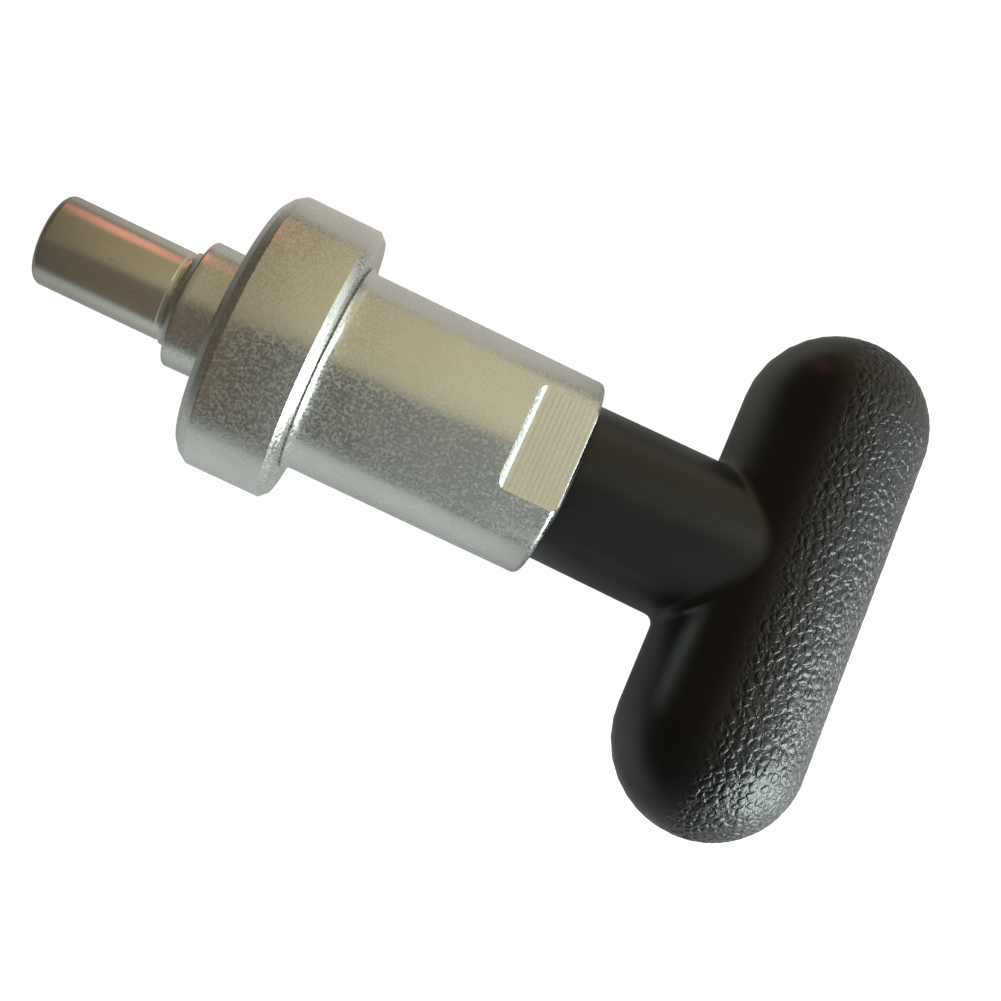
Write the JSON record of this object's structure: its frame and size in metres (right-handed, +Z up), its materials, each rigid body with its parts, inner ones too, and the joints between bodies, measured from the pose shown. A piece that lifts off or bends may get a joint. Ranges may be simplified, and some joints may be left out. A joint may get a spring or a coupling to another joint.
{
  "type": "quick release pin",
  "caption": "Spring-loaded locking pin in a flanged steel housing, pulled back by a black plastic T-handle.",
  "frame": {"origin": "on the pin's axis, in the flange's front seating face, where the pilot neck starts", "axes": "+X along the pin's axis towards the handle, the way it is pulled; Y along the handle's bar at rest; +Z up"},
  "size_m": [0.1143, 0.0704, 0.037],
  "materials": {
    "zinc_steel": "zinc-plated, satin",
    "pin_steel": "turned and plated, semi-bright",
    "spring_steel": "drawn wire",
    "black_plastic": "moulded, grained on the outer half of the bar",
    "brass": "turned"
  },
  "bodies": {
    "housing": {"mounting_flange": "zinc_steel", "housing_sleeve": "zinc_steel"},
    "spring": {"compression_spring": "spring_steel"},
    "plunger": {"locking_pin": "pin_steel", "t_handle": "black_plastic", "handle_insert": "brass"}
  },
  "joints": [
    {"name": "handle_turn", "type": "hinge", "parent": "housing", "child": "spring", "pos_m": [0, 0, 0], "axis": [1, 0, 0], "continuous": true},
    {"name": "pull", "type": "slide", "parent": "spring", "child": "plunger", "axis": [1, 0, 0], "range_m": [0, 0.017], "stiffness_N_per_m": 1960, "springref_m": -0.0099, "deforming": ["compression_spring"]}
  ]
}
